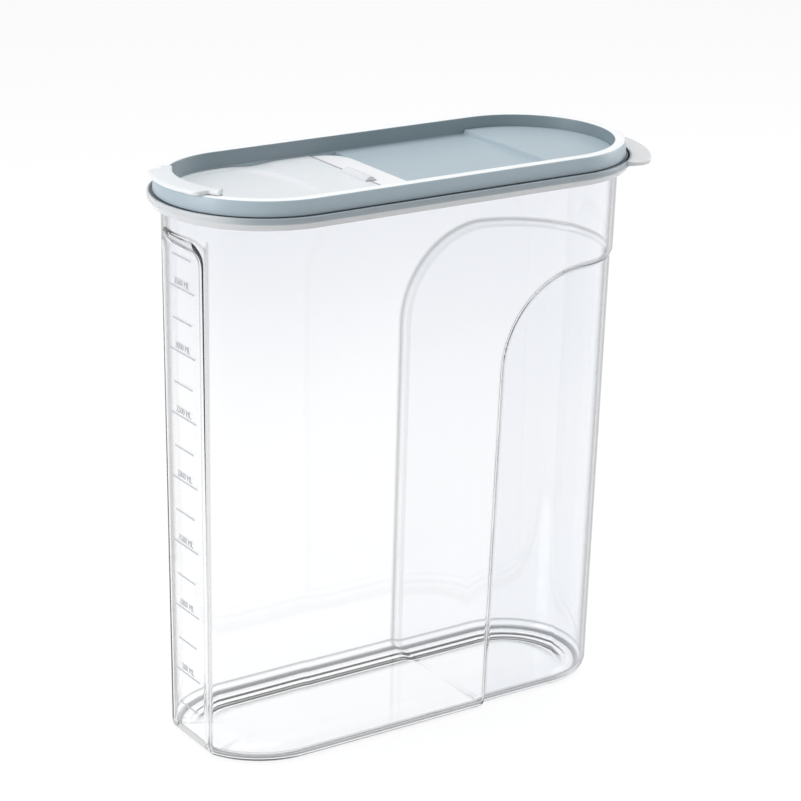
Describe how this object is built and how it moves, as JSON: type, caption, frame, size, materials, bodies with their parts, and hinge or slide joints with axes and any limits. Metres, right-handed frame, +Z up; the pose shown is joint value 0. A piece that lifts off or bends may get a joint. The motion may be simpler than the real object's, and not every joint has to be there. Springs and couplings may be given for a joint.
{
  "type": "cereal container",
  "caption": "Tall clear stadium-plan food keeper with a graduated flat, a wrap-around hand grip, a lift-off lid with a pull-tab seal and a flip-open pouring flap.",
  "frame": {"origin": "centre of the overall box in X and Y, on the plane the foot stands on", "axes": "+Z up, the pouring spout towards -X, the grip and the pull tab towards +X, Y across the container"},
  "size_m": [0.2486, 0.0998, 0.2672],
  "materials": {
    "clear_body": "clear, glossy, water-clear moulding",
    "lid_blue_grey": "pale blue-grey, soft gloss",
    "milky_seal": "translucent milky, soft gloss",
    "white_leaf": "white, soft gloss",
    "white_flap": "white, soft gloss",
    "white_strap": "white, soft gloss"
  },
  "bodies": {
    "container": {"container_body": "clear_body"},
    "lid": {"lid_frame": "lid_blue_grey", "lid_seal": "milky_seal", "hinge_leaf": "white_leaf"},
    "flap": {"pour_flap": "white_flap"},
    "strap": {"snap_strap": "white_strap"}
  },
  "joints": [
    {"name": "lid_lift", "type": "slide", "parent": "container", "child": "lid", "axis": [0, 0, 1], "range_m": [0, 0.06]},
    {"name": "flap_hinge", "type": "hinge", "parent": "lid", "child": "flap", "pos_m": [-0.02465, 0, 0.2571], "axis": [0, 1, 0], "range_deg": [0, 168]},
    {"name": "strap_hinge", "type": "hinge", "parent": "lid", "child": "strap", "pos_m": [-0.02465, 0, 0.2571], "axis": [0, 1, 0], "range_deg": [0, 84]}
  ],
  "couplings": [
    {"joint": "strap_hinge", "follows": "flap_hinge", "ratio": 0.5}
  ]
}
